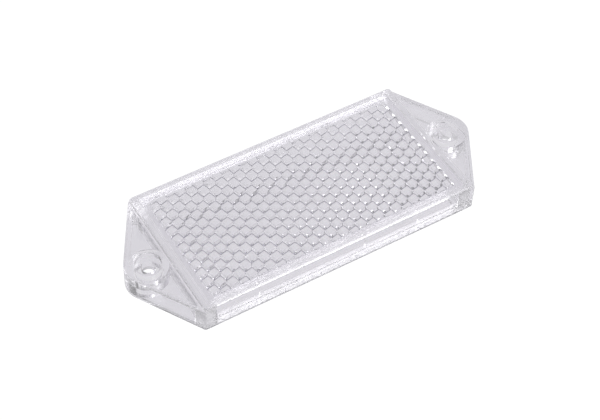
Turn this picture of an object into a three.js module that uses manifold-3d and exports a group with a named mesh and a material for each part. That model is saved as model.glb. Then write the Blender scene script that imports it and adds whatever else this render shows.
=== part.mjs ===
// Clear screw-on reflex reflector: a hexagonal housing with a screw lug at each end, a prism lens let into its top,
// and a back plate that closes it underneath. Millimetres, +Z up, +X along the length.
// The origin is at the centre of the mounting face.

import * as THREE from "three";
import { mergeVertices } from "three/addons/utils/BufferGeometryUtils.js";
import Module from "manifold-3d";

const wasm = await Module();
wasm.setup();

// Overall
const LENGTH = 125.2;
const WIDTH = 50;
const HEIGHT = 10.5;
const TIP_RADIUS = 7.6; // each lug's tip is concentric with its screw hole
const SHOULDER_RADIUS = 1.0; // where the long sides turn into the lugs

// Screw lugs
const HOLE_TO_BODY = 6.0; // from a screw hole's axis to the end of the raised body
const HOLE_DIAMETER = 4.5; // clears an M4 screw
const RECESS_DIAMETER = 8.4; // takes a pan head
const RECESS_DEPTH = 1.8;
const HOLE_LENGTH = 4.0; // under the recess, before the hole widens towards the mounting face
const UNDER_DIAMETER = 8.4; // of the wide end of the hole
const BOSS_WALL = 2.2; // round the widest part of the hole
const LUG_DROP = 1.5; // how far a lug's top lies under the top of the body
const LUG_PLATE = 2.0;
const LUG_WALL = 1.4;
const LUG_EDGE = 0.35; // chamfer round a lug's top

// Raised body
const BODY_EDGE = 1.0; // radius along the top edges
const BODY_CORNER = 1.2; // radius of the upright corners
const SIDE_WALL = 1.9; // beside the lens, along the long sides
const END_WALL = 2.5; // between the lens and each lug
const LEDGE = 1.9; // how far the ledge under the lens reaches in

// Prism lens
const LENS_DROP = 0.2; // how far the lens lies under the top of the body
const LENS_PLATE = 1.9;
const LENS_EDGE = 0.2; // chamfer round its top
const LENS_CLEARANCE = 0.1; // all round the lens in its pocket
const LENS_CORNER = 0.6; // plan corners of the lens and of its pocket
const PRISM_PITCH = 3.8; // across the flats of one hexagonal cube corner
const PRISM_CLEARANCE = 0.5; // between the prism field and the ledge

// Back plate
const PLATE_THICKNESS = 1.0;
const PLATE_EDGE = 0.3; // chamfer round its mounting face
const PLATE_HOLE_CLEARANCE = 0.4; // round each screw hole
const RIB_HEIGHT = 1.2; // locating rib that stands inside the body
const RIB_WIDTH = 1.2;
const RIB_CLEARANCE = 0.2;

const JOINT_GAP = 0.05; // at each welded face
const PAST = 4; // how far a cutter runs past the face it opens
const ARC_STEPS = 8;
const ROUND_STEPS = 48;
const EDGE_STEPS = 4; // across a rounded edge

// Derived places
const holeX = LENGTH / 2 - TIP_RADIUS;
const bodyX = holeX - HOLE_TO_BODY;
const bodyY = WIDTH / 2;
const plateTop = PLATE_THICKNESS;
const housingFoot = plateTop + JOINT_GAP;
const lugTop = HEIGHT - LUG_DROP;
const lugUnder = lugTop - LUG_PLATE;
const lensTop = HEIGHT - LENS_DROP;
const lensUnder = lensTop - LENS_PLATE;
const ledgeTop = lensUnder - JOINT_GAP;
const pocketX = bodyX - END_WALL;
const pocketY = bodyY - SIDE_WALL;
const chamberX = pocketX - LEDGE;
const chamberY = pocketY - LEDGE;
const holeRadius = HOLE_DIAMETER / 2;
const recessRadius = RECESS_DIAMETER / 2;
const underRadius = UNDER_DIAMETER / 2;
const bossRadius = Math.max(recessRadius, underRadius) + BOSS_WALL;
const recessFloor = lugTop - RECESS_DEPTH;

// Outward direction of a lug's slanted edge, which runs from the body's corner to touch the tip's arc.
const tipToCorner = new THREE.Vector2(-HOLE_TO_BODY, bodyY);
const slantAngle = tipToCorner.angle() - Math.acos(TIP_RADIUS / tipToCorner.length());
const slant = new THREE.Vector2(Math.cos(slantAngle), Math.sin(slantAngle));

// A closed outline through corners [x, y, radius], anticlockwise, with each convex corner rounded by an arc.
function roundedShape(corners) {
  const shape = new THREE.Shape();
  corners.forEach(([x, y, radius], i) => {
    const corner = new THREE.Vector2(x, y);
    const before = corners.at(i - 1);
    const after = corners[(i + 1) % corners.length];
    const back = new THREE.Vector2(before[0], before[1]).sub(corner).normalize();
    const on = new THREE.Vector2(after[0], after[1]).sub(corner).normalize();
    const half = Math.acos(back.dot(on)) / 2;
    const centre = back.clone().add(on).setLength(radius / Math.sin(half)).add(corner);
    const start = corner.clone().addScaledVector(back, radius / Math.tan(half)).sub(centre);
    const end = corner.clone().addScaledVector(on, radius / Math.tan(half)).sub(centre);
    shape.absarc(centre.x, centre.y, radius, start.angle(), end.angle(), false);
  });
  shape.closePath();
  return shape;
}

function rectangleShape(halfX, halfY, radius) {
  return roundedShape([
    [halfX, -halfY, radius],
    [halfX, halfY, radius],
    [-halfX, halfY, radius],
    [-halfX, -halfY, radius],
  ]);
}

// The hexagonal outline of the whole reflector.
function outlineShape() {
  const apex = holeX + TIP_RADIUS / slant.x;
  return roundedShape([
    [bodyX, -bodyY, SHOULDER_RADIUS],
    [apex, 0, TIP_RADIUS],
    [bodyX, bodyY, SHOULDER_RADIUS],
    [-bodyX, bodyY, SHOULDER_RADIUS],
    [-apex, 0, TIP_RADIUS],
    [-bodyX, -bodyY, SHOULDER_RADIUS],
  ]);
}

// The triangular outline inside the +X lug, a wall's thickness in from its slanted edges.
function lugShape() {
  const reach = TIP_RADIUS - LUG_WALL;
  const startY = (reach + slant.x * HOLE_TO_BODY) / slant.y;
  return roundedShape([
    [bodyX, -startY, LENS_CORNER],
    [holeX + reach / slant.x, 0, reach],
    [bodyX, startY, LENS_CORNER],
  ]);
}

function solidFrom(geometry) {
  geometry.deleteAttribute("normal");
  geometry.deleteAttribute("uv");
  const merged = mergeVertices(geometry, 1e-4);
  return new wasm.Manifold(
    new wasm.Mesh({
      numProp: 3,
      vertProperties: merged.attributes.position.array,
      triVerts: new Uint32Array(merged.index.array),
    }),
  );
}

function geometryFrom(solid) {
  const mesh = solid.getMesh();
  const geometry = new THREE.BufferGeometry();
  geometry.setAttribute("position", new THREE.BufferAttribute(mesh.vertProperties, 3));
  geometry.setIndex(new THREE.BufferAttribute(mesh.triVerts, 1));
  geometry.computeVertexNormals();
  return geometry;
}

// An upright solid on an outline, between two heights, with its top and bottom edges eased by `edge`: chamfered in
// one step or rounded in several.
function upright(shape, low, high, edge = 0, steps = 1) {
  const geometry = new THREE.ExtrudeGeometry(shape, {
    depth: high - low - 2 * edge,
    bevelEnabled: edge > 0,
    bevelThickness: edge,
    bevelSize: edge,
    bevelOffset: -edge,
    bevelSegments: steps,
    curveSegments: ARC_STEPS,
  });
  geometry.translate(0, 0, low + edge);
  return solidFrom(geometry);
}

// A solid of revolution about the +X screw hole, from [radius, height] points that run upwards.
function turned(points) {
  const low = points[0][1];
  const high = points.at(-1)[1];
  const profile = [[0, low], ...points, [0, high]].map(([r, z]) => new THREE.Vector2(r, z));
  const geometry = new THREE.LatheGeometry(profile, ROUND_STEPS);
  geometry.rotateX(Math.PI / 2);
  geometry.translate(holeX, 0, 0);
  return solidFrom(geometry);
}

// A solid and its copy, turned half round, at the other end of the reflector.
function bothEnds(solid) {
  return solid.add(solid.rotate([0, 0, 180]));
}

// Everything within the reflector's plan between two heights, to trim a solid with.
function slab(low, high) {
  return upright(rectangleShape(LENGTH, WIDTH, 1), low, high);
}

function housingSolid() {
  const below = housingFoot - PAST;
  const above = HEIGHT + PAST;
  const lugs = upright(outlineShape(), below, lugTop, LUG_EDGE);
  const body = upright(rectangleShape(bodyX, bodyY, BODY_CORNER), below, HEIGHT, BODY_EDGE, EDGE_STEPS);
  const pocket = upright(rectangleShape(pocketX, pocketY, LENS_CORNER), ledgeTop, above);
  const chamber = upright(rectangleShape(chamberX, chamberY, LENS_CORNER), below, above);
  const boss = turned([
    [bossRadius, below - PAST],
    [bossRadius, above],
  ]);
  const hollow = upright(lugShape(), below, lugUnder).subtract(boss);
  const screwWay = turned([
    [underRadius, below - PAST],
    [underRadius, recessFloor - HOLE_LENGTH],
    [holeRadius, recessFloor - HOLE_LENGTH],
    [holeRadius, recessFloor],
    [recessRadius, recessFloor],
    [recessRadius, above],
  ]);
  return lugs
    .add(body)
    .subtract(slab(below - PAST, housingFoot))
    .subtract(pocket)
    .subtract(chamber)
    .subtract(bothEnds(hollow))
    .subtract(bothEnds(screwWay));
}

// The field of hexagonal cube corners, one closed mesh with a flat top. Each cell is the corner of a cube that stands
// on its tip, so the points of its outline lie in turn one third and two thirds of the cube's diagonal above the tip.
function prismField(halfX, halfY, top) {
  const columnStep = PRISM_PITCH * Math.cos(Math.PI / 6);
  const reach = PRISM_PITCH / Math.sqrt(3);
  const third = PRISM_PITCH / Math.sqrt(6);
  const lidHeight = top + LENS_PLATE / 2; // inside the lens's plate, where the two join
  const columns = Math.ceil(halfX / columnStep);
  const rows = Math.ceil(halfY / PRISM_PITCH) + 1;
  const positions = [];
  const openEdges = new Map();
  const key = (point) => point.map((v) => Math.round(v * 1000)).join();
  const face = (a, b, c) => positions.push(...a, ...b, ...c);
  for (let column = -columns; column <= columns; column += 1) {
    const stagger = column % 2 === 0 ? 0.5 : 0;
    for (let row = -rows; row <= rows; row += 1) {
      const x = column * columnStep;
      const y = (row + stagger) * PRISM_PITCH;
      const tip = [x, y, top - 2 * third];
      const middle = [x, y, lidHeight];
      const ring = [0, 1, 2, 3, 4, 5].map((i) => [
        x + reach * Math.cos((i * Math.PI) / 3),
        y + reach * Math.sin((i * Math.PI) / 3),
        i % 2 === 0 ? top - third : top,
      ]);
      const lid = ring.map(([px, py]) => [px, py, lidHeight]);
      ring.forEach((point, i) => {
        const next = (i + 1) % 6;
        face(middle, lid[i], lid[next]);
        face(tip, ring[next], point);
        const fromNeighbour = `${key(ring[next])} ${key(point)}`;
        if (openEdges.has(fromNeighbour)) openEdges.delete(fromNeighbour);
        else openEdges.set(`${key(point)} ${key(ring[next])}`, [point, ring[next], lid[next], lid[i]]);
      });
    }
  }
  openEdges.forEach(([a, b, c, d]) => {
    face(a, b, c);
    face(a, c, d);
  });
  const geometry = new THREE.BufferGeometry();
  geometry.setAttribute("position", new THREE.BufferAttribute(new Float32Array(positions), 3));
  return solidFrom(geometry).intersect(upright(rectangleShape(halfX, halfY, LENS_CORNER), 0, HEIGHT));
}

function lensSolid() {
  const outline = rectangleShape(pocketX - LENS_CLEARANCE, pocketY - LENS_CLEARANCE, LENS_CORNER);
  const block = upright(outline, lensUnder - PAST, lensTop, LENS_EDGE);
  const field = prismField(chamberX - PRISM_CLEARANCE, chamberY - PRISM_CLEARANCE, lensUnder);
  return block.subtract(slab(lensUnder - 2 * PAST, lensUnder)).add(field);
}

function backPlateSolid() {
  const block = upright(outlineShape(), 0, plateTop + PAST, PLATE_EDGE);
  const ribX = chamberX - RIB_CLEARANCE;
  const ribY = chamberY - RIB_CLEARANCE;
  const ribTop = plateTop + RIB_HEIGHT;
  const ribFoot = plateTop / 2;
  const inside = rectangleShape(ribX - RIB_WIDTH, ribY - RIB_WIDTH, LENS_CORNER);
  const rib = upright(rectangleShape(ribX, ribY, LENS_CORNER), ribFoot, ribTop);
  const hole = turned([
    [underRadius + PLATE_HOLE_CLEARANCE, -PAST],
    [underRadius + PLATE_HOLE_CLEARANCE, plateTop + PAST],
  ]);
  return block
    .subtract(slab(plateTop, plateTop + 2 * PAST))
    .add(rib.subtract(upright(inside, ribFoot - PAST, ribTop + PAST)))
    .subtract(bothEnds(hole));
}

function part(name, solid, color) {
  const material = new THREE.MeshStandardMaterial({
    color,
    roughness: 0.06,
    metalness: 0,
    transparent: true,
    opacity: 0.35,
  });
  const mesh = new THREE.Mesh(geometryFrom(solid), material);
  mesh.name = name;
  return mesh;
}

const reflector = new THREE.Group();
reflector.add(part("lens_housing", housingSolid(), 0xdcdae0));
reflector.add(part("prism_lens", lensSolid(), 0xe4e3ea));
reflector.add(part("back_plate", backPlateSolid(), 0xd6d4da));

export default reflector;
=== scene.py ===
"""A clear screw-on reflex reflector: a housing, a prism lens and a back plate, on a plain pale table."""
import math

import bmesh
import bpy
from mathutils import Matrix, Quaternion, Vector


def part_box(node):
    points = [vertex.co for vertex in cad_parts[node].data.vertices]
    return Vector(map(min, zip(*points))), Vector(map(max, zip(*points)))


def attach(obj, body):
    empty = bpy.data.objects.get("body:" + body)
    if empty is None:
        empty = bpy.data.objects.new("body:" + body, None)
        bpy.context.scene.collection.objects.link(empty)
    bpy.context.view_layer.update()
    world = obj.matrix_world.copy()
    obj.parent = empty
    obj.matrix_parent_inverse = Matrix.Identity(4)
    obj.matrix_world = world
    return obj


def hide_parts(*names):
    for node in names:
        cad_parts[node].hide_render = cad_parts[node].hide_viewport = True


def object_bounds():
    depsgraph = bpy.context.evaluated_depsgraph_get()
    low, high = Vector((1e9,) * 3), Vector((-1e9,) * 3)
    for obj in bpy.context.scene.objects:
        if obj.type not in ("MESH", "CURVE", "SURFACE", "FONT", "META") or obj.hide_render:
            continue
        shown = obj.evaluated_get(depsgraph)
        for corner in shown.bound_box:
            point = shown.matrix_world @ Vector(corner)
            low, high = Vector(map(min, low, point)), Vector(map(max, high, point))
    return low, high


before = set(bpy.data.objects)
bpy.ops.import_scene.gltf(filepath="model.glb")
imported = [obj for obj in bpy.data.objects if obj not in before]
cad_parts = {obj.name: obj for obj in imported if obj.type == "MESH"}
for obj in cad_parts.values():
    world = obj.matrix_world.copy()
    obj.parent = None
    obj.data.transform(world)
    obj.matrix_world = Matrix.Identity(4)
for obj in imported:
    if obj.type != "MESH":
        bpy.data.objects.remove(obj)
cad_low, cad_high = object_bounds()
scene = bpy.context.scene

MM = 0.001

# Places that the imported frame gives
housing_low, housing_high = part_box("lens_housing")
lens_low, lens_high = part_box("prism_lens")
plate_low, plate_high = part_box("back_plate")

# Sizes of features inside the pieces, as the CAD model has them
TIP_RADIUS = 7.6 * MM
SHOULDER_RADIUS = 1.0 * MM
HOLE_TO_BODY = 6.0 * MM
HOLE_RADIUS = 2.25 * MM
RECESS_RADIUS = 4.2 * MM
RECESS_DEPTH = 1.8 * MM
HOLE_LENGTH = 4.0 * MM
UNDER_RADIUS = 4.2 * MM
BOSS_WALL = 2.2 * MM
LUG_DROP = 1.5 * MM
LUG_PLATE = 2.0 * MM
LUG_WALL = 1.4 * MM
LUG_EDGE = 0.35 * MM
BODY_EDGE = 1.0 * MM
BODY_CORNER = 1.2 * MM
END_WALL = 2.5 * MM
SIDE_WALL = 1.9 * MM
LEDGE = 1.9 * MM
LENS_PLATE = 1.9 * MM
LENS_EDGE = 0.2 * MM
INNER_CORNER = 0.6 * MM
PRISM_PITCH = 3.8 * MM
PRISM_CLEARANCE = 0.5 * MM
PRISM_SLACK = PRISM_PITCH / 100
PLATE_THICKNESS = 1.0 * MM
PLATE_EDGE = 0.3 * MM
PLATE_HOLE_CLEARANCE = 0.4 * MM
RIB_WIDTH = 1.2 * MM
RIB_CLEARANCE = 0.2 * MM
JOINT_GAP = 0.05 * MM

# Fine finish that only the looks need
EDGE_ROUND = 0.22 * MM
PLATE_EDGE_ROUND = 0.12 * MM
EDGE_ANGLE = math.radians(35)
EDGE_SEGMENTS = 3
SAME_POINT = 0.002 * MM
FLAT_ANGLE = math.radians(0.5)
FLOW_RIBS = (-29 * MM, 9 * MM, 29 * MM)
FLOW_RIB_WIDTH = 0.7 * MM
FLOW_RIB_DEPTH = 0.3 * MM
FLOW_RIB_SUNK = 0.3 * MM
PIN_LINE = 0.19 * MM
# The material slot that holds the painted shade on the lines between the prisms
PIN_LINE_SHADE_SLOT = 1
UPRIGHT_FACE = 0.01

# How finely curves are cut
ARC_STEPS = 20
ROUND_STEPS = 96
SMALL_EDGE_STEPS = 4
BODY_EDGE_STEPS = 8

# How far a cutter runs past the face that it opens
PAST = 4 * MM

# Clear plastic: how it bends light, and its small unevenness
BEND = 1.49
HOUSING_TINT = (0.99, 0.985, 1.0)
LENS_TINT = (0.99, 0.985, 1.0)
PLATE_TINT = (0.985, 0.98, 0.995)
HOUSING_ROUGHNESS = 0.11
LENS_ROUGHNESS = 0.008
PLATE_ROUGHNESS = 0.14
MOULDED_BUMP = 0.003
LENS_BUMP = 0.01
BUMP_DEPTH = 0.1 * MM
POLISH_SCALE = 220
FLOW_SCALE = 70
POLISH_DETAIL = 4
POLISH_LOW, POLISH_HIGH = 0.35, 0.75
SMOOTHEST, ROUGHEST = 0.4, 1.6
DEEPER_TINT = 0.985

# The lines between the prisms, with painted shade that makes them darker than the cells
GRAIN_SCALE = 160
GRAIN_LOW, GRAIN_HIGH = 0.3, 0.7
# Painted shade: the dark and the paler grey of the lines between the prisms, varied by grain
PAINTED_SHADE_DARK = (0.16, 0.155, 0.2, 1)
PAINTED_SHADE_PALE = (0.34, 0.33, 0.39, 1)
LINE_ROUGHNESS = (0.2, 0.5)

# The table: its brightness seen directly by the camera, and for every other ray of light
FLOOR_SIZE = 6
FLOOR_DROP = 0.05 * MM
FLOOR_SEEN = 1.05
FLOOR_GLOW = 0.75
FLOOR_COLOUR = (0.995, 0.985, 1.02, 1)

# The tent: its brightness low down and high up, and the heights (as Z of the direction) where each begins
TENT_COLOUR = (0.985, 0.98, 1.0, 1)
TENT_LOW, TENT_HIGH = 0.9, 0.62
TENT_LOW_Z, TENT_HIGH_Z = 0.1, 0.8

# Panels in the tent: bearing from +Y toward +X, height, core and rim in degrees, and their brightness
# beside the tent's
SKY_PANELS = (
    (-50, 48, 24, 48, 0.4),
    (145, 22, 16, 44, 2.0),
)

# The lamp
LAMP_BEARING = 138
LAMP_HEIGHT = 42
LAMP_DISTANCE = 1.6
LAMP_SIZE = 1.1
LAMP_ENERGY = 8

# The camera
CAMERA_AZIMUTH = math.radians(-33.35)
CAMERA_ELEVATION = math.radians(50.33)
CAMERA_ROLL = math.radians(2.76)
CAMERA_DISTANCE = 0.4923
CAMERA_AIM_X, CAMERA_AIM_Y = -2.33 * MM, -2.38 * MM
FOCAL_LENGTH = 93.28
SENSOR_WIDTH = 36

# Light runs a long way inside clear walls before it comes out
LIGHT_BOUNCES = 128

# Derived places
top = housing_high.z
foot = housing_low.z
body_x = housing_high.x - TIP_RADIUS - HOLE_TO_BODY
body_y = housing_high.y
hole_x = housing_high.x - TIP_RADIUS
lug_top = top - LUG_DROP
lug_under = lug_top - LUG_PLATE
recess_floor = lug_top - RECESS_DEPTH
lens_under = lens_high.z - LENS_PLATE
ledge_top = lens_under - JOINT_GAP
pocket_x = body_x - END_WALL
pocket_y = body_y - SIDE_WALL
chamber_x = pocket_x - LEDGE
chamber_y = pocket_y - LEDGE
plate_top = plate_low.z + PLATE_THICKNESS

corner_way = math.atan2(body_y, -HOLE_TO_BODY)
corner_reach = math.hypot(body_y, HOLE_TO_BODY)
slant_way = corner_way - math.acos(TIP_RADIUS / corner_reach)
slant_x, slant_y = math.cos(slant_way), math.sin(slant_way)


# ---------- outlines ----------

def rounded_outline(corners, steps=ARC_STEPS):
    """Points round a convex outline, anticlockwise, with each corner (x, y, radius) turned into an arc."""
    points = []
    for i, (x, y, radius) in enumerate(corners):
        corner = Vector((x, y))
        before = Vector(corners[i - 1][:2])
        after = Vector(corners[(i + 1) % len(corners)][:2])
        back = (before - corner).normalized()
        on = (after - corner).normalized()
        half = math.acos(max(-1, min(1, back.dot(on)))) / 2
        centre = corner + (back + on).normalized() * (radius / math.sin(half))
        start = corner + back * (radius / math.tan(half)) - centre
        from_angle = math.atan2(start.y, start.x)
        sweep = math.pi - 2 * half
        for step in range(steps + 1):
            angle = from_angle + sweep * step / steps
            points.append((centre.x + radius * math.cos(angle), centre.y + radius * math.sin(angle)))
    return points


def rectangle(half_x, half_y, radius, inset=0.0):
    """A rounded rectangle, drawn in by inset on every side."""
    x, y, r = half_x - inset, half_y - inset, radius - inset
    return rounded_outline([(x, -y, r), (x, y, r), (-x, y, r), (-x, -y, r)])


def hexagon(inset=0.0):
    """The outline of the whole reflector, drawn in by inset."""
    tip = TIP_RADIUS - inset
    y = body_y - inset
    x = hole_x + (tip - slant_y * y) / slant_x
    apex = hole_x + tip / slant_x
    return rounded_outline([
        (x, -y, SHOULDER_RADIUS),
        (apex, 0, tip),
        (x, y, SHOULDER_RADIUS),
        (-x, y, SHOULDER_RADIUS),
        (-apex, 0, tip),
        (-x, -y, SHOULDER_RADIUS),
    ])


def lug_inside():
    """The triangular outline inside the +X lug's walls."""
    reach = TIP_RADIUS - LUG_WALL
    start_y = (reach + slant_x * HOLE_TO_BODY) / slant_y
    return rounded_outline([
        (body_x, -start_y, INNER_CORNER),
        (hole_x + reach / slant_x, 0, reach),
        (body_x, start_y, INNER_CORNER),
    ])


def circle(centre_x, radius):
    """A circle round a point on the X axis."""
    turns = [2 * math.pi * i / ROUND_STEPS for i in range(ROUND_STEPS)]
    return [(centre_x + radius * math.cos(a), radius * math.sin(a)) for a in turns]


# ---------- solids ----------

def object_from(bm, name):
    """A new object with the mesh that bm holds, its faces turned outward."""
    bmesh.ops.recalc_face_normals(bm, faces=bm.faces)
    mesh = bpy.data.meshes.new(name)
    bm.to_mesh(mesh)
    bm.free()
    piece = bpy.data.objects.new(name, mesh)
    scene.collection.objects.link(piece)
    return piece


def loft(name, levels):
    """A closed solid through level outlines (points, height) that all have the same number of points."""
    bm = bmesh.new()
    rings = [[bm.verts.new((x, y, z)) for x, y in points] for points, z in levels]
    for lower, upper in zip(rings, rings[1:]):
        for i in range(len(lower)):
            j = (i + 1) % len(lower)
            bm.faces.new((lower[i], lower[j], upper[j], upper[i]))
    bm.faces.new(list(reversed(rings[0])))
    bm.faces.new(rings[-1])
    return object_from(bm, name)


def upright(name, points, low, high):
    """A solid with one outline from low to high."""
    return loft(name, [(points, low), (points, high)])


def eased(outline, low, high, edge, steps, at_top=True):
    """Levels for a loft whose top or bottom edge is rounded with radius edge. outline(inset) gives points."""
    turns = [math.pi / 2 * i / steps for i in range(steps + 1)]
    curve = [(outline(edge * (1 - math.cos(t))), edge * (1 - math.sin(t))) for t in turns]
    if at_top:
        return [(outline(0.0), low)] + [(points, high - drop) for points, drop in curve]
    return [(points, low + drop) for points, drop in reversed(curve)] + [(outline(0.0), high)]


def combine(piece, operation, *tools):
    """Joins, cuts or crosses a piece with each tool, and drops the tools."""
    for tool in tools:
        modifier = piece.modifiers.new("combine", "BOOLEAN")
        modifier.operation = operation
        modifier.solver = "EXACT"
        modifier.object = tool
        settle(piece)
        bpy.data.objects.remove(tool)
    return piece


def settle(piece):
    """Makes a piece's modifiers part of its mesh."""
    depsgraph = bpy.context.evaluated_depsgraph_get()
    mesh = bpy.data.meshes.new_from_object(piece.evaluated_get(depsgraph))
    piece.modifiers.clear()
    piece.data = mesh


def at_both_ends(make):
    """make(sign) for the +X and the -X end."""
    return [make(1), make(-1)]


def mirrored(points, sign):
    """An outline turned half round the Z axis for the other end."""
    return points if sign > 0 else [(-x, -y) for x, y in points]


def finish_edges(piece, width=EDGE_ROUND):
    """Rounds every sharp edge a little, as a polished mould leaves it, and shades the piece smoothly."""
    bm = bmesh.new()
    bm.from_mesh(piece.data)
    bmesh.ops.remove_doubles(bm, verts=bm.verts, dist=SAME_POINT)
    bmesh.ops.dissolve_limit(bm, angle_limit=FLAT_ANGLE, verts=bm.verts, edges=bm.edges)
    bm.to_mesh(piece.data)
    bm.free()
    bevel = piece.modifiers.new("rounded edges", "BEVEL")
    bevel.width = width
    bevel.segments = EDGE_SEGMENTS
    bevel.limit_method = "ANGLE"
    bevel.angle_limit = EDGE_ANGLE
    bevel.use_clamp_overlap = True
    bevel.miter_outer = "MITER_ARC"
    settle(piece)
    for face in piece.data.polygons:
        face.use_smooth = True
    normals = piece.modifiers.new("weighted normals", "WEIGHTED_NORMAL")
    normals.keep_sharp = True
    normals.weight = 100
    settle(piece)


# ---------- the housing ----------

def flow_rib(x, side):
    """A thin upright rib on the inside of a long wall, under the ledge, that helps plastic fill the wall."""
    middle = side * (chamber_y - FLOW_RIB_DEPTH / 2 + FLOW_RIB_SUNK / 2)
    half_x, half_y = FLOW_RIB_WIDTH / 2, (FLOW_RIB_DEPTH + FLOW_RIB_SUNK) / 2
    outline = [
        (x + half_x, middle - half_y),
        (x + half_x, middle + half_y),
        (x - half_x, middle + half_y),
        (x - half_x, middle - half_y),
    ]
    return upright("flow_rib", outline, plate_high.z + RIB_CLEARANCE, ledge_top - FLOW_RIB_SUNK)


def body_outline(inset):
    """The outline of the raised body between the lugs."""
    return rectangle(body_x, body_y, BODY_CORNER, inset)


def make_housing():
    """The frame and its lugs, hollow underneath, with a pocket for the lens and two stepped screw holes."""
    below = foot - PAST
    housing = loft("housing_shell", eased(hexagon, foot, lug_top, LUG_EDGE, SMALL_EDGE_STEPS))
    combine(housing, "UNION", loft("body", eased(body_outline, foot, top, BODY_EDGE, BODY_EDGE_STEPS)))
    combine(
        housing,
        "DIFFERENCE",
        upright("pocket", rectangle(pocket_x, pocket_y, INNER_CORNER), ledge_top, top + PAST),
        upright("chamber", rectangle(chamber_x, chamber_y, INNER_CORNER), below, top + PAST),
    )

    def hollow(sign):
        space = upright("hollow", mirrored(lug_inside(), sign), below, lug_under)
        boss = circle(sign * hole_x, max(RECESS_RADIUS, UNDER_RADIUS) + BOSS_WALL)
        return combine(space, "DIFFERENCE", upright("boss", boss, below - PAST, top + PAST))

    def screw_hole(sign):
        return upright("screw_hole", circle(sign * hole_x, HOLE_RADIUS), below, top + PAST)

    def screw_recess(sign):
        return upright("recess", circle(sign * hole_x, RECESS_RADIUS), recess_floor, top + PAST)

    def wide_end(sign):
        return upright("wide_end", circle(sign * hole_x, UNDER_RADIUS), below, recess_floor - HOLE_LENGTH)

    combine(housing, "UNION", *[flow_rib(x, side) for x in FLOW_RIBS for side in (1, -1)])
    for make in (hollow, screw_hole, screw_recess, wide_end):
        combine(housing, "DIFFERENCE", *at_both_ends(make))
    finish_edges(housing)
    return housing


# ---------- the lens ----------

def prism_field(half_x, half_y):
    """The hexagonal cube corners under the lens, as a closed solid with a flat top inside the lens plate.

    Each cell is the corner of a cube that stands on its tip, so the points of its outline lie in turn
    one third and two thirds of the cube's diagonal above the tip.
    """
    column_step = PRISM_PITCH * math.cos(math.pi / 6)
    reach = PRISM_PITCH / math.sqrt(3)
    third = PRISM_PITCH / math.sqrt(6)
    lid = lens_under + LENS_PLATE / 2
    columns = math.ceil(half_x / column_step)
    rows = math.ceil(half_y / PRISM_PITCH) + 1
    bm = bmesh.new()
    made = {}

    def vertex(x, y, z):
        key = (round(x / MM * 1000), round(y / MM * 1000), round(z / MM * 1000))
        if key not in made:
            made[key] = bm.verts.new((x, y, z))
        return made[key]

    for column in range(-columns, columns + 1):
        stagger = 0.5 if column % 2 == 0 else 0.0
        for row in range(-rows, rows + 1):
            x = column * column_step
            y = (row + stagger) * PRISM_PITCH
            tip = vertex(x, y, lens_under - 2 * third)
            ring = []
            cover = []
            for i in range(6):
                px = x + reach * math.cos(i * math.pi / 3)
                py = y + reach * math.sin(i * math.pi / 3)
                ring.append(vertex(px, py, lens_under - (third if i % 2 == 0 else 0)))
                cover.append(vertex(px, py, lid))
            for i in (1, 3, 5):
                bm.faces.new((tip, ring[(i + 1) % 6], ring[i], ring[i - 1]))
            bm.faces.new(cover)
    bm.edges.ensure_lookup_table()
    open_edges = [edge for edge in bm.edges if edge.is_boundary]
    lower = [edge for edge in open_edges if max(v.co.z for v in edge.verts) < lid - PRISM_SLACK]
    for edge in lower:
        a, b = edge.verts
        bm.faces.new((a, b, vertex(b.co.x, b.co.y, lid), vertex(a.co.x, a.co.y, lid)))
    round_borders(bm)
    field = object_from(bm, "prism_field")
    limits = upright("limits", rectangle(half_x, half_y, INNER_CORNER), lens_low.z - PAST, lens_high.z)
    return combine(field, "INTERSECT", limits)


def round_borders(bm):
    """Turns the sharp borders between the cells into narrow strips, the lines that the mould's pins leave,
    and gives them the material with the painted shade.
    """
    lowest_border = lens_under - PRISM_PITCH / math.sqrt(6) - PRISM_SLACK
    bm.normal_update()
    borders = []
    for edge in bm.edges:
        in_border = all(lowest_border < v.co.z < lens_under + PRISM_SLACK for v in edge.verts)
        if in_border and not any(abs(face.normal.z) < UPRIGHT_FACE for face in edge.link_faces):
            borders.append(edge)
    bmesh.ops.bevel(
        bm,
        geom=borders,
        offset=PIN_LINE,
        offset_type="OFFSET",
        segments=1,
        affect="EDGES",
        material=PIN_LINE_SHADE_SLOT,
    )


def lens_outline(inset):
    """The outline of the lens plate."""
    return rectangle(lens_high.x, lens_high.y, INNER_CORNER, inset)


def make_lens():
    """The lens plate with the prisms under it, in flat facets, because round edges would spoil the prisms."""
    lens = loft("prism_plate", eased(lens_outline, lens_under, lens_high.z, LENS_EDGE, SMALL_EDGE_STEPS))
    field = prism_field(chamber_x - PRISM_CLEARANCE, chamber_y - PRISM_CLEARANCE)
    combine(lens, "UNION", field)
    for face in lens.data.polygons:
        face.use_smooth = False
    return lens


# ---------- the back plate ----------

def make_back_plate():
    """The plate under the housing, with a rib that stands inside it and a hole round each screw hole."""
    levels = eased(hexagon, plate_low.z, plate_top, PLATE_EDGE, SMALL_EDGE_STEPS, at_top=False)
    plate = loft("back_cover", levels)
    rib_x, rib_y = chamber_x - RIB_CLEARANCE, chamber_y - RIB_CLEARANCE
    rib_outline = rectangle(rib_x, rib_y, INNER_CORNER)
    rib = upright("rib", rib_outline, plate_top - PLATE_THICKNESS / 2, plate_high.z)
    inside = rectangle(rib_x - RIB_WIDTH, rib_y - RIB_WIDTH, INNER_CORNER)
    combine(rib, "DIFFERENCE", upright("inside", inside, plate_low.z - PAST, plate_high.z + PAST))
    combine(plate, "UNION", rib)
    hole_radius = UNDER_RADIUS + PLATE_HOLE_CLEARANCE

    def plate_hole(sign):
        return upright("hole", circle(sign * hole_x, hole_radius), -PAST, plate_top + PAST)

    combine(plate, "DIFFERENCE", *at_both_ends(plate_hole))
    finish_edges(plate, PLATE_EDGE_ROUND)
    return plate


# ---------- materials ----------

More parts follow.
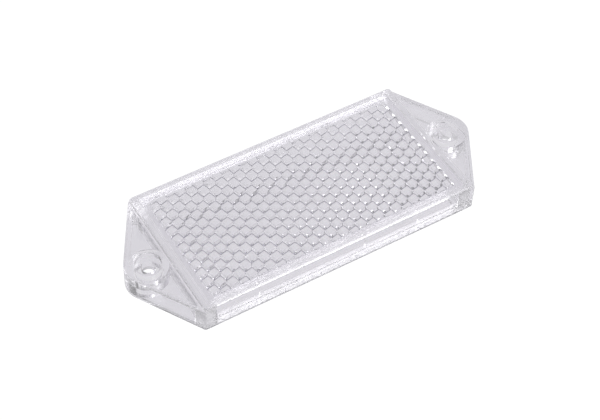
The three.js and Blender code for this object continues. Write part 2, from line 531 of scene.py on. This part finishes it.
def noise(nodes, links, scale, detail=2):
    """A noise that is fixed to the object, and its value."""
    place = nodes.new("ShaderNodeTexCoord")
    texture = nodes.new("ShaderNodeTexNoise")
    texture.inputs["Scale"].default_value = scale
    texture.inputs["Detail"].default_value = detail
    links.new(place.outputs["Object"], texture.inputs["Vector"])
    return texture.outputs["Fac"]


def new_plastic(name):
    """A clear plastic material, with its nodes, links and shader."""
    material = bpy.data.materials.new(name)
    material.use_nodes = True
    nodes, links = material.node_tree.nodes, material.node_tree.links
    shader = nodes["Principled BSDF"]
    shader.inputs["IOR"].default_value = BEND
    shader.inputs["Transmission Weight"].default_value = 1.0
    return material, nodes, links, shader


def clear_plastic(name, tint, roughness, bump):
    """Clear moulded plastic, with a slightly uneven polish and tint and faint flow marks in its surface."""
    material, nodes, links, shader = new_plastic(name)
    polish = noise(nodes, links, POLISH_SCALE, POLISH_DETAIL)

    spread = nodes.new("ShaderNodeMapRange")
    spread.inputs["From Min"].default_value = POLISH_LOW
    spread.inputs["From Max"].default_value = POLISH_HIGH
    spread.inputs["To Min"].default_value = roughness * SMOOTHEST
    spread.inputs["To Max"].default_value = roughness * ROUGHEST
    links.new(polish, spread.inputs["Value"])
    links.new(spread.outputs["Result"], shader.inputs["Roughness"])

    colours = nodes.new("ShaderNodeMix")
    colours.data_type = "RGBA"
    colours.inputs["A"].default_value = (*tint, 1)
    colours.inputs["B"].default_value = (*[channel * DEEPER_TINT for channel in tint], 1)
    links.new(polish, colours.inputs["Factor"])
    links.new(colours.outputs["Result"], shader.inputs["Base Color"])

    waves = nodes.new("ShaderNodeBump")
    waves.inputs["Strength"].default_value = bump
    waves.inputs["Distance"].default_value = BUMP_DEPTH
    links.new(noise(nodes, links, FLOW_SCALE), waves.inputs["Height"])
    links.new(waves.outputs["Normal"], shader.inputs["Normal"])
    return material


def pin_line_painted_shade(name):
    """The lines between the prisms: matt, with a grey colour that is painted shade for the light lost in
    their narrow borders, so that they look darker than the cells.
    """
    material, nodes, links, shader = new_plastic(name)
    grain = noise(nodes, links, GRAIN_SCALE)
    shade = nodes.new("ShaderNodeValToRGB")
    shade.color_ramp.elements[0].position = GRAIN_LOW
    shade.color_ramp.elements[0].color = PAINTED_SHADE_DARK
    shade.color_ramp.elements[1].position = GRAIN_HIGH
    shade.color_ramp.elements[1].color = PAINTED_SHADE_PALE
    links.new(grain, shade.inputs["Fac"])
    links.new(shade.outputs["Color"], shader.inputs["Base Color"])
    rough = nodes.new("ShaderNodeMapRange")
    rough.inputs["To Min"].default_value, rough.inputs["To Max"].default_value = LINE_ROUGHNESS
    links.new(grain, rough.inputs["Value"])
    links.new(rough.outputs["Result"], shader.inputs["Roughness"])
    return material


# ---------- stage ----------

def direction(bearing, height):
    """The way to a place at a bearing from +Y toward +X and a height, in degrees."""
    b, h = math.radians(bearing), math.radians(height)
    return Vector((math.sin(b) * math.cos(h), math.cos(b) * math.cos(h), math.sin(h)))


def emission(nodes, colour, strength):
    """A shader that shines evenly."""
    shader = nodes.new("ShaderNodeEmission")
    shader.inputs["Color"].default_value = colour
    shader.inputs["Strength"].default_value = strength
    return shader.outputs["Emission"]


def make_floor():
    """A plain pale table, the same all over: white to the camera, and pale grey to every other ray."""
    bpy.ops.mesh.primitive_plane_add(size=FLOOR_SIZE, location=(0, 0, cad_low.z - FLOOR_DROP))
    floor = bpy.context.object
    floor.name = "floor"
    material = bpy.data.materials.new("pale table")
    material.use_nodes = True
    nodes, links = material.node_tree.nodes, material.node_tree.links
    nodes.remove(nodes["Principled BSDF"])
    path = nodes.new("ShaderNodeLightPath")
    choice = nodes.new("ShaderNodeMixShader")
    links.new(path.outputs["Is Camera Ray"], choice.inputs["Fac"])
    links.new(emission(nodes, FLOOR_COLOUR, FLOOR_GLOW), choice.inputs[1])
    links.new(emission(nodes, (1, 1, 1, 1), FLOOR_SEEN), choice.inputs[2])
    links.new(choice.outputs["Shader"], nodes["Material Output"].inputs["Surface"])
    floor.data.materials.append(material)


def make_world():
    """A soft tent, bright low down and dimmer overhead, with one darker and one brighter panel."""
    world = bpy.data.worlds.new("soft tent")
    scene.world = world
    world.use_nodes = True
    nodes, links = world.node_tree.nodes, world.node_tree.links
    place = nodes.new("ShaderNodeTexCoord")
    split = nodes.new("ShaderNodeSeparateXYZ")
    links.new(place.outputs["Generated"], split.inputs["Vector"])
    fall = nodes.new("ShaderNodeMapRange")
    fall.interpolation_type = "SMOOTHSTEP"
    fall.inputs["From Min"].default_value = TENT_LOW_Z
    fall.inputs["From Max"].default_value = TENT_HIGH_Z
    fall.inputs["To Min"].default_value = TENT_LOW
    fall.inputs["To Max"].default_value = TENT_HIGH
    links.new(split.outputs["Z"], fall.inputs["Value"])
    strength = fall.outputs["Result"]
    for bearing, height, core, rim, factor in SKY_PANELS:
        toward = nodes.new("ShaderNodeVectorMath")
        toward.operation = "DOT_PRODUCT"
        toward.inputs[1].default_value = direction(bearing, height)
        links.new(place.outputs["Generated"], toward.inputs[0])
        panel = nodes.new("ShaderNodeMapRange")
        panel.interpolation_type = "SMOOTHSTEP"
        panel.inputs["From Min"].default_value = math.cos(math.radians(rim))
        panel.inputs["From Max"].default_value = math.cos(math.radians(core))
        panel.inputs["To Min"].default_value = 1.0
        panel.inputs["To Max"].default_value = factor
        links.new(toward.outputs["Value"], panel.inputs["Value"])
        shaded = nodes.new("ShaderNodeMath")
        shaded.operation = "MULTIPLY"
        links.new(strength, shaded.inputs[0])
        links.new(panel.outputs["Result"], shaded.inputs[1])
        strength = shaded.outputs["Value"]
    background = nodes["Background"]
    background.inputs["Color"].default_value = TENT_COLOUR
    links.new(strength, background.inputs["Strength"])


def make_lamp():
    """A round soft lamp that points at the reflector."""
    toward = direction(LAMP_BEARING, LAMP_HEIGHT)
    light = bpy.data.lights.new("key", "AREA")
    light.shape = "DISK"
    light.size = LAMP_SIZE
    light.energy = LAMP_ENERGY
    lamp = bpy.data.objects.new("key", light)
    lamp.location = toward * LAMP_DISTANCE
    lamp.rotation_mode = "QUATERNION"
    lamp.rotation_quaternion = (-toward).to_track_quat("-Z", "Y")
    scene.collection.objects.link(lamp)


def make_camera():
    """The camera, aimed at the reflector and rolled a little."""
    aim = Vector((CAMERA_AIM_X, CAMERA_AIM_Y, top / 2))
    back = Vector((
        math.sin(CAMERA_AZIMUTH) * math.cos(CAMERA_ELEVATION),
        -math.cos(CAMERA_AZIMUTH) * math.cos(CAMERA_ELEVATION),
        math.sin(CAMERA_ELEVATION),
    ))
    lens = bpy.data.cameras.new("camera")
    lens.lens = FOCAL_LENGTH
    lens.sensor_width = SENSOR_WIDTH
    camera = bpy.data.objects.new("camera", lens)
    camera.location = aim + back * CAMERA_DISTANCE
    camera.rotation_mode = "QUATERNION"
    camera.rotation_quaternion = (-back).to_track_quat("-Z", "Y") @ Quaternion((0, 0, 1), CAMERA_ROLL)
    scene.collection.objects.link(camera)
    scene.camera = camera


# ---------- the scene ----------

make_camera()
scene.view_settings.view_transform = "Standard"
scene.cycles.max_bounces = LIGHT_BOUNCES
scene.cycles.transmission_bounces = LIGHT_BOUNCES
scene.cycles.glossy_bounces = LIGHT_BOUNCES

housing = make_housing()
lens = make_lens()
plate = make_back_plate()

housing.data.materials.append(clear_plastic("housing_plastic", HOUSING_TINT, HOUSING_ROUGHNESS, MOULDED_BUMP))
lens.data.materials.append(clear_plastic("lens_plastic", LENS_TINT, LENS_ROUGHNESS, LENS_BUMP))
# The second slot: the painted shade on the lines between the prisms
lens.data.materials.append(pin_line_painted_shade("pin_line_painted_shade"))
plate.data.materials.append(clear_plastic("plate_plastic", PLATE_TINT, PLATE_ROUGHNESS, MOULDED_BUMP))

for piece, node, slot in (
    (housing, "lens_housing", "clear_housing"),
    (lens, "prism_lens", "clear_prism"),
    (plate, "back_plate", "clear_back"),
):
    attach(piece, "root")
    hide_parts(node)

make_floor()
make_world()
make_lamp()
